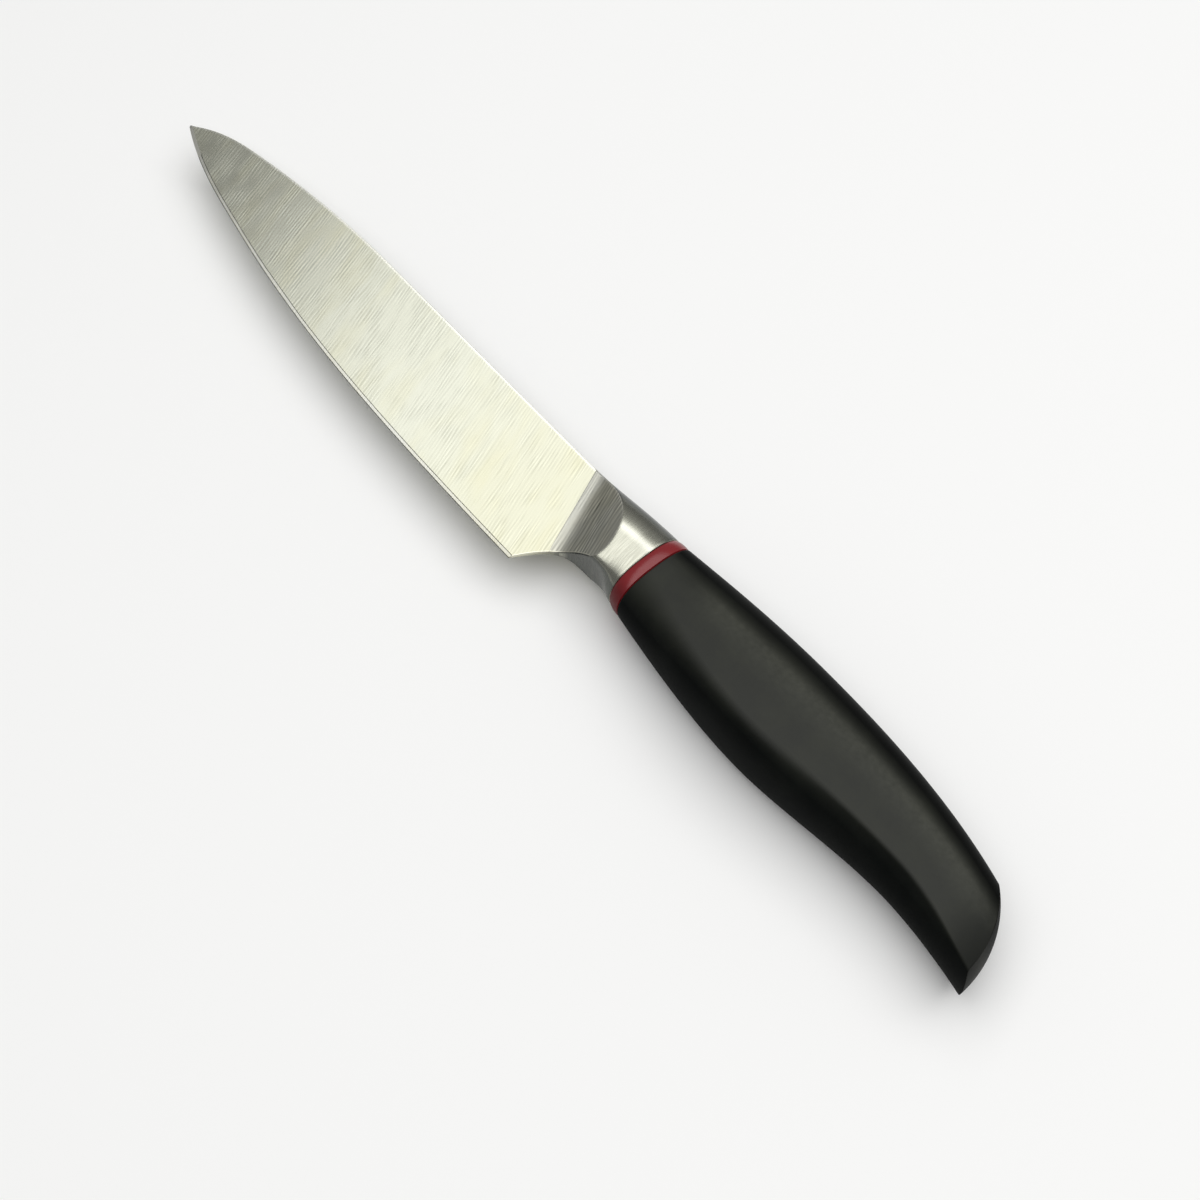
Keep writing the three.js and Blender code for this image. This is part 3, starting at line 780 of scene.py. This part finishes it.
# %% [markdown]
# ## What the grinding wheel sweeps
# On the real knife the wheel leaves the blade's face in a short hollow and climbs out through the neck at
# about 31 degrees. Such a ramp could be made by moving points of the neck, but its edge would never be
# clean. So the wheel is modelled as what it sweeps: its profile, drawn from the foot of the ramp. A tiny
# step before the hollow leaves the thin line that marks the foot.

# %% Profile of the wheel
RAMP_ANGLE = 31.0
RAMP_RADIUS = 7.0
RAMP_STEPS = 25
MARK_WIDTH = 0.5
MARK_STEP = 0.05
MARK_RISE = 0.15
SWEEP_REACH = 45.0
climb = math.radians(RAMP_ANGLE)
turns = evenly(0, climb, RAMP_STEPS)
hollow = [(RAMP_RADIUS * math.sin(turn), RAMP_RADIUS * (1 - math.cos(turn))) for turn in turns]
mark = [(-MARK_WIDTH, 0), (MARK_RISE - MARK_WIDTH, MARK_STEP)]
ramp = mark + [(run, rise + MARK_STEP) for run, rise in hollow]
ramp_end = (SWEEP_REACH, ramp[-1][1] + math.tan(climb) * (SWEEP_REACH - ramp[-1][0]))
profile = [(-SWEEP_REACH, 0)] + ramp + [ramp_end, (-SWEEP_REACH, ramp_end[1])]
print("corners of the wheel's profile:", len(profile))

# %% [markdown]
# ## Ramps
# The profile is pulled along the grinding lines, in the plane of the blade's face, and cut out of the neck
# once for each side. The directions could be typed in, but they are measured on the blade's largest face,
# so that the ramps leave it without a step. The cut faces take the wheel's finish.

# %% Cut both ramps
STOCK_HALF = 1.1
FACE_SINK = 0.03
# Stainless steel ground on a coarse wheel: dark and light streaks, and hardly a mirror.
ramp_steel = ground_steel("stainless_steel_wheel_ground", "#e0e1dc", "#7c7d7a", 0.42, EDGE_EASE)


def cut(piece, tool):
    """Take the tool's shape out of the piece. The cut faces get the tool's finish."""
    trim = piece.modifiers.new("trim", "BOOLEAN")
    trim.operation = "DIFFERENCE"
    trim.solver = "EXACT"
    trim.object = tool
    trim.material_mode = "TRANSFER"
    select_only(piece)
    bpy.ops.object.modifier_apply(modifier=trim.name)
    bpy.data.objects.remove(tool)


upper_faces = [face for face in blade.data.polygons if face.normal.z > FACE_OUT]
away = max(upper_faces, key=lambda face: face.area).normal.copy()
along = Vector((math.cos(lean), math.sin(lean), 0))
along = (along - away * along.dot(away)).normalized()
back = along.cross(away)
foot = Vector((PLUNGE_X, SPINE_RISE, STOCK_HALF - FACE_SINK))
for side in (1, -1):
    ends = []
    for shift in (-SWEEP_REACH, SWEEP_REACH):
        points = [foot + back * run + away * rise + along * shift for run, rise in profile]
        ends.append([(p.x, p.y, p.z * side) for p in points])
    wheel = skin("wheel_sweep", ends)
    wheel.data.materials.append(ramp_steel)
    cut(neck, wheel)
print("neck faces after grinding:", len(neck.data.polygons))

# %% [markdown]
# ## Front of the neck
# Ahead of the ramps only a thin lap of the neck is left over the blade. The real one is ground flush and
# ends there. A boolean could cut it, but one straight cut along the grinding lines is all it takes, so it
# is bisected like the blade, just ahead of the ramp's foot.

# %% Trim the neck
NECK_LAP = 0.8
select_only(neck)
bpy.ops.object.mode_set(mode="EDIT")
bpy.ops.mesh.select_all(action="SELECT")
bpy.ops.mesh.bisect(
    plane_co=plunge - behind * NECK_LAP * MM, plane_no=behind, use_fill=True, clear_inner=True)
bpy.ops.object.mode_set(mode="OBJECT")
print("neck faces after trimming:", len(neck.data.polygons))

# %% [markdown]
# ## Choil of the neck
# The rounded edge of the blade's choil goes on along the lower end of each ramp, where the finger lies
# too. A Bevel node would only bend the light there, but a rounding that a finger feels belongs in the mesh.
# So the edges are found by their two faces, a ramp above and the belly beside it, and beveled just as on
# the blade, so that the two pieces show one bright line.

# %% Ease the ramps' lower edges
RAMP, EASED = 1, 2
RAMP_OUT = 0.8
BELLY_DOWN, BELLY_OUT = 0.4, 0.3


def on_neck_choil(edge):
    """True for an edge between a ramp and the belly."""
    lower, upper = sorted(edge.link_faces, key=lambda face: abs(face.normal.z))
    on_ramp = upper.material_index == RAMP and abs(upper.normal.z) > RAMP_OUT
    return on_ramp and lower.normal.y < -BELLY_DOWN and abs(lower.normal.z) < BELLY_OUT


neck.data.materials.append(honed_steel)
ease_edges(neck, on_neck_choil, EASED)

# %% [markdown]
# ## The bolster takes its place
# The neck's oval is smooth, and its ramps meet it in clear edges. Flat shading would show the faces of the
# oval, and smooth shading everywhere would blur the ramps. So one angle parts the two: below it an edge is
# part of a curve, and above it the edge is meant to show. The neck then stands in for the CAD bolster.

# %% Shade the bolster
NECK_SMOOTH = 25
bpy.ops.object.shade_smooth_by_angle(angle=math.radians(NECK_SMOOTH))
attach(neck, "root")
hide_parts("bolster")
print("neck faces when finished:", len(neck.data.polygons))

# %% [markdown]
# ## Gloss red plastic
# The ring is moulded from red plastic in a polished mould, so it is glossy, with faint clouds from the
# flow of the melt. In the photograph its underside is duller, and here that is painted shade: a darker,
# less glossy red. One shader could change its reflection from place to place, but the export keeps only a
# constant there. So a gloss shader and a shader of painted shade are mixed by the way that the surface
# looks.

# %% Gloss red plastic
RED_FLOW = 2.5
# ABS moulded in a polished mould: a deep, clean red with a small, sharp highlight, and painted shade on
# its underside.
red = new_finish("abs_gloss_moulded_red")
here = add(red, "TexCoord", {}).outputs["Object"]
flow = noise(red, here, RED_FLOW * MM, 3)
rough = fade(red, flow, (0, 1), (0.2, 0.3))
gloss = plain_shader(red, blend(red, flow, "#832327", "#771c20"), rough, 0.5)
# Painted shade: a darker, less glossy red for the underside.
shaded_underside = plain_shader(red, linear("#5e1e21"), 0.45, 0.1)
on_belly = fade(red, spine_part(red), UNDER_LOOK)
shader = add(red, "MixShader", {0: on_belly, 1: gloss, 2: shaded_underside})
add(red, "OutputMaterial", {"Surface": shader.outputs["Shader"]})
print(red.name, len(red.node_tree.nodes), "nodes")

# %% [markdown]
# ## Red ring
# The ring is a plastic washer between the bolster and the handle. Its outside is slightly crowned, and its
# two edges lie a little below their neighbours, which draws the thin dark seams. A torus would be too
# round and has no seams, so the ring is skinned over ovals that grow from the neck's size to the handle's,
# with two sunk ones at each end for the seams.

# %% Ring sections
RING_WIDTH = 3.2
RING_BULGE = 0.25
RING_SEAM = 0.15
SEAM_WIDTH = 0.2
SEAM_DEPTH = 0.4
GRIP_RISE = 8.55
GRIP_DROP = 9.85
GRIP_HALF = 6.7
RING_POINTS = 145
CROWN_SECTIONS = 17
RING_SMOOTH = 40


def between(a, b, share):
    """The number that lies at a share of the way from a to b."""
    return a + (b - a) * share


def ring_section(x, sunk=0.0):
    """Oval of the ring at x, crowned in the middle and sunk by some mm in a seam."""
    u = x / RING_WIDTH
    proud = RING_BULGE * 4 * u * (1 - u) - RING_SEAM - sunk
    top = between(RING_RISE, GRIP_RISE, u) + proud
    bottom = -between(RING_DROP, GRIP_DROP, u) - proud
    half = between(RING_HALF, GRIP_HALF, u) + proud
    angles = evenly(0, 2 * math.pi, RING_POINTS)[:-1]
    return [oval_point(x, top, bottom, half, NECK_POWER, angle) for angle in angles]


front_seam = [ring_section(x, SEAM_DEPTH) for x in (0, SEAM_WIDTH)]
crown = [ring_section(x) for x in evenly(SEAM_WIDTH, RING_WIDTH - SEAM_WIDTH, CROWN_SECTIONS)]
back_seam = [ring_section(x, SEAM_DEPTH) for x in (RING_WIDTH - SEAM_WIDTH, RING_WIDTH)]
ring = skin("red_ring", front_seam + crown + back_seam)
ring.data.materials.append(red)
select_only(ring)
bpy.ops.object.shade_smooth_by_angle(angle=math.radians(RING_SMOOTH))
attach(ring, "root")
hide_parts("spacer_ring")
print("ring faces:", len(ring.data.polygons))

# %% [markdown]
# ## Grain of the handle
# The handle is moulded from black plastic in a spark-eroded mould, which gives it a fine, even grain and a
# soft sheen. Handling leaves cloudy patches that shine a little differently. The grain could be real
# bumps in the mesh, but it is far too fine for that, so a noise tilts the surface in the shader.

# %% Grain and clouds
# A spark-eroded grain is about 0.08 mm, too fine to show, so it is drawn three times as coarse.
GRAIN = 0.25
GRAIN_DEPTH = 0.02
CLOUD = 9.0
MOULD_EASE = 0.3
black = new_finish("polypropylene_satin_moulded_black")
here = add(black, "TexCoord", {}).outputs["Object"]
cloud = noise(black, here, CLOUD * MM, 8, Roughness=0.65)
cloudy = fade(black, cloud, (0.42, 0.75))
eased = eased_normal(black, MOULD_EASE)
grained = relief(black, noise(black, here, GRAIN * MM, 2), 0.3, GRAIN_DEPTH, eased)
print("grain and clouds, mm:", GRAIN, CLOUD)

# %% [markdown]
# ## Where the handle shines
# In the photograph the two broad panels have a soft sheen, and the spine, the belly and the butt are
# darker. Here that darkness is painted shade. The masks for it could be painted, but the panels follow the
# section's own curve, so the way that the surface looks finds them, and the place along the knife finds the
# butt.

# %% Spine, belly and butt
GRIP_SPINE_LOOK = (0.23, 0.46)
GRIP_BELLY_LOOK = (-0.05, -0.85)
BUTT_SHADE_X = (83, 96)
BUTT_SHADE = 0.7
to_spine = spine_part(black, eased)
# Masks for painted shade on the spine and the belly.
on_spine = fade(black, to_spine, GRIP_SPINE_LOOK)
on_belly = fade(black, to_spine, GRIP_BELLY_LOOK)
# Painted shade that grows towards the butt.
butt_shade = fade_along(black, here, BUTT_SHADE_X, BUTT_SHADE, interpolation_type="SMOOTHSTEP")
shaded_belly_and_butt = combine(black, "MAXIMUM", on_belly, butt_shade)
print("the butt turns dull over", BUTT_SHADE_X[1] - BUTT_SHADE_X[0], "mm")

# %% [markdown]
# ## Painted highlight on the ridge
# Along each panel, where it turns to the spine, a paler grey is painted as a highlight, unevenly and only
# behind the first centimetre. A plain pale stripe would look like a line of paint. So a mask with a rise
# and a fall picks out the ridge, fine specks break it up, and the place along the knife starts it behind
# the ring.

# %% Ridge highlight, specks and where it starts
SPECKLE = 1.2
GRIP_RIDGE_LOOKS = (0.02, 0.2), (0.38, 0.2)
HIGHLIGHT_X = (10, 18)
RIDGE_HIGHLIGHT_LEVEL = 0.36
ridge_highlight = on_ridge(black, to_spine, GRIP_RIDGE_LOOKS, interpolation_type="SMOOTHSTEP")
speckled = fade(black, noise(black, here, SPECKLE * MM, 5), (0.3, 0.7), (0.7, 1.3))
highlight_reach = combine(black, "MULTIPLY", speckled, fade_along(black, here, HIGHLIGHT_X, RIDGE_HIGHLIGHT_LEVEL))
ridge_highlight_share = combine(black, "MULTIPLY", ridge_highlight, highlight_reach)
# The highlight painted on the ridge starts this far behind the bolster.
print("wear starts", HIGHLIGHT_X[0], "mm behind the bolster")

# %% [markdown]
# ## Satin black plastic
# Three shaders of one plastic make the handle: the panel, and darker, duller copies for the spine and the
# belly, which paint their shade. They differ most in how strongly they reflect, and that has to be a
# constant in each shader, so they are mixed by the masks. The clouds vary the colour of each.

# %% Satin black moulded plastic
# Polypropylene from a spark-eroded mould: a soft grey sheen on the panels. The near black at spine and
# belly is painted shade, and the paler ridge a painted highlight.
smudged = blend(black, cloudy, "#1a1c15", "#24261d")
# The paler grey on the ridge is a painted highlight.
colour = blend(black, ridge_highlight_share, smudged, "#4a4b42")
rough = fade(black, cloud, (0, 1), (0.4, 0.5))
panel = plain_shader(black, colour, rough, 0.29, Normal=grained)
# Painted shade: a near-black copy of the plastic for the spine, which hardly reflects.
dim = blend(black, cloudy, "#0a0b0a", "#101210")
spine = plain_shader(black, dim, rough, 0.03, Normal=grained)
# Painted shade: a near-black, matt copy for the belly and the butt.
deep = blend(black, cloudy, "#0c0e0d", "#131513")
belly = plain_shader(black, deep, 0.55, 0.015, Normal=grained)
sides = add(black, "MixShader", {0: on_spine, 1: panel, 2: spine})
shader = add(black, "MixShader", {0: shaded_belly_and_butt, 1: sides.outputs["Shader"], 2: belly})
add(black, "OutputMaterial", {"Surface": shader.outputs["Shader"]})
print(black.name, len(black.node_tree.nodes), "nodes")

# %% [markdown]
# ## Lines of the handle
# From the side, the handle swells to fill the palm, narrows to a waist for the little finger, and ends in
# a hook. Each of its lines could be a curve object, but a section needs their heights at one place, so
# they are lists of knots: place along the knife, height and slope. The crease is given by its height over
# the belly line, which it nears towards the butt.

# %% Knots of the handle's lines
SWELL_X = 38.2
WAIST_X = 74.2
BUTT_X = 87.4
HOOK_X = 96.6
TAIL_REACH = 4
TAIL = HOOK_X + TAIL_REACH
BUTT_RISE = 5.25
BUTT_FALL = -0.27
HOOK_DROP = 12.65
HOOK_FALL = -0.13
CREASE_END = 0.9
CREASE_FALL = -0.15
GRIP_TOP = [
    (RING_WIDTH, GRIP_RISE, 0.11), (SWELL_X, 10.45, 0), (BUTT_X, BUTT_RISE, BUTT_FALL),
    (TAIL, BUTT_RISE + BUTT_FALL * (TAIL - BUTT_X), BUTT_FALL)]
GRIP_BELLY = [
    (RING_WIDTH, -GRIP_DROP, -0.15), (SWELL_X, -12.85, 0), (WAIST_X, -10.55, 0),
    (HOOK_X, -HOOK_DROP, HOOK_FALL), (TAIL, -HOOK_DROP + HOOK_FALL * TAIL_REACH, HOOK_FALL)]
GRIP_SIDE = [(RING_WIDTH, GRIP_HALF, 0.1), (SWELL_X, 9, 0), (TAIL, 5.5, -0.08)]
GRIP_SQUARE = [(RING_WIDTH, NECK_POWER, 0), (SWELL_X, 2.8, 0), (TAIL, 2.8, 0)]
CREASE = [
    (RING_WIDTH, (GRIP_RISE + GRIP_DROP) / 2, -0.25), (SWELL_X, 4.4, 0), (WAIST_X, 3.3, 0),
    (HOOK_X, CREASE_END, CREASE_FALL), (TAIL, CREASE_END + CREASE_FALL * TAIL_REACH, CREASE_FALL)]
TUCK = [(RING_WIDTH, 0, 0), (SWELL_X, 0, 0), (WAIST_X, 0.42, 0), (TAIL, 0.42, 0)]
swell = knot_curve(GRIP_TOP, SWELL_X) - knot_curve(GRIP_BELLY, SWELL_X)
print("height at the swell, mm:", round(swell, 2))

# %% [markdown]
# ## Handle
# One section of the handle is an oval that runs over the spine from crease to crease, and a belly that
# turns in below the creases. The creases close on the belly line towards the butt and fade out towards
# the ring, where the section is a plain oval again. A crease could be marked as a sharp edge under a
# subdivision surface, but it has to change along the handle, so it is drawn into the sections.

# %% Handle sections
CREASE_EASE = 0.6
GRIP_OVER_POINTS, GRIP_CORNER_POINTS, GRIP_BELLY_POINTS = 73, 7, 20
GRIP_SECTIONS = 98


def grip_section(x):
    """Section of the handle at x, over the spine to the creases and round the belly."""
    top, bottom = knot_curve(GRIP_TOP, x), knot_curve(GRIP_BELLY, x)
    half, power = knot_curve(GRIP_SIDE, x), knot_curve(GRIP_SQUARE, x)
    crease = bottom + knot_curve(CREASE, x)
    crease_point = Vector((x, crease, half))
    corner = Vector((x, bottom, half * (1 - knot_curve(TUCK, x))))
    middle = Vector((x, bottom, 0))
    short = math.asin((CREASE_EASE / (top - crease)) ** (power / 2))
    angles = evenly(short - math.pi / 2, math.pi / 2 - short, GRIP_OVER_POINTS)
    over = [oval_point(x, top, 2 * crease - top, half, power, angle) for angle in angles]
    start = CREASE_EASE / (2 * (corner - crease_point).length)
    belly = [tuple(crease_point.lerp(corner, u).lerp(corner.lerp(middle, u), u))
             for u in evenly(start, 1, GRIP_BELLY_POINTS)]
    near = rounded_corner(over[-1], crease_point, belly[0], GRIP_CORNER_POINTS) + belly
    far = [(x, y, -z) for x, y, z in reversed(near[:-1])]
    return over + near + far


grip = skin("moulded_handle", [grip_section(x) for x in evenly(RING_WIDTH, TAIL, GRIP_SECTIONS)])
grip.data.materials.append(black)
print("handle faces:", len(grip.data.polygons))

# %% [markdown]
# ## Domed end of the butt
# The butt ends in a face that is domed in both directions, more sharply across than along. The last
# section could be inset and pushed out, but its long crease would fold. So a block with a dome hollowed
# out of it is cut from the handle, which leaves the dome standing.

# %% Cut the domed end
END_RADIUS = 21.8
END_SIDE_RADIUS = 15.6
DOME_SEGMENTS, DOME_RINGS = 192, 96
dome_middle = place(HOOK_X - END_RADIUS, -HOOK_DROP, 0)
bpy.ops.object.select_all(action="DESELECT")
bpy.ops.mesh.primitive_uv_sphere_add(
    segments=DOME_SEGMENTS, ring_count=DOME_RINGS, radius=END_RADIUS * MM, location=dome_middle)
dome = bpy.context.object
dome.scale.z = math.sqrt(END_SIDE_RADIUS / END_RADIUS)
dome.data.materials.append(black)
bpy.ops.mesh.primitive_cube_add(
    size=2 * END_RADIUS * MM, location=dome_middle + Vector((END_RADIUS * MM, 0, 0)))
end_block = bpy.context.object
end_block.data.materials.append(black)
cut(end_block, dome)
cut(grip, end_block)
print("handle faces after the end is cut:", len(grip.data.polygons))

# %% [markdown]
# ## The handle takes its place
# Panels, belly and dome are smooth, and the edge of the end face is meant to show. As on the bolster, one
# angle parts the two. The handle then stands in for the CAD grip.

# %% Shade the handle
GRIP_SMOOTH = 28
select_only(grip)
bpy.ops.object.shade_smooth_by_angle(angle=math.radians(GRIP_SMOOTH))
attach(grip, "root")
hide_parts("grip")
print("smooth faces of the handle:", sum(face.use_smooth for face in grip.data.polygons))

# %% [markdown]
# ## Core of the handle
# The core is moulded round the tang inside the handle and can't be seen. It could be modelled again too,
# but nobody would notice, so it keeps its CAD shape and gets a plain moulded finish.

# %% Core finish
CORE_FLOW = 3.0
# Polypropylene as it comes from a plain mould: dark grey with faint flow clouds and no shine.
core = new_finish("polypropylene_as_moulded_grey")
here = add(core, "TexCoord", {}).outputs["Object"]
colour = blend(core, noise(core, here, CORE_FLOW * MM, 2), "#36383a", "#404244")
add(core, "OutputMaterial", {"Surface": plain_shader(core, colour, 0.6, 0.5)})
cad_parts["handle_core"].data.materials[0] = core
print(core.name, len(core.node_tree.nodes), "nodes")
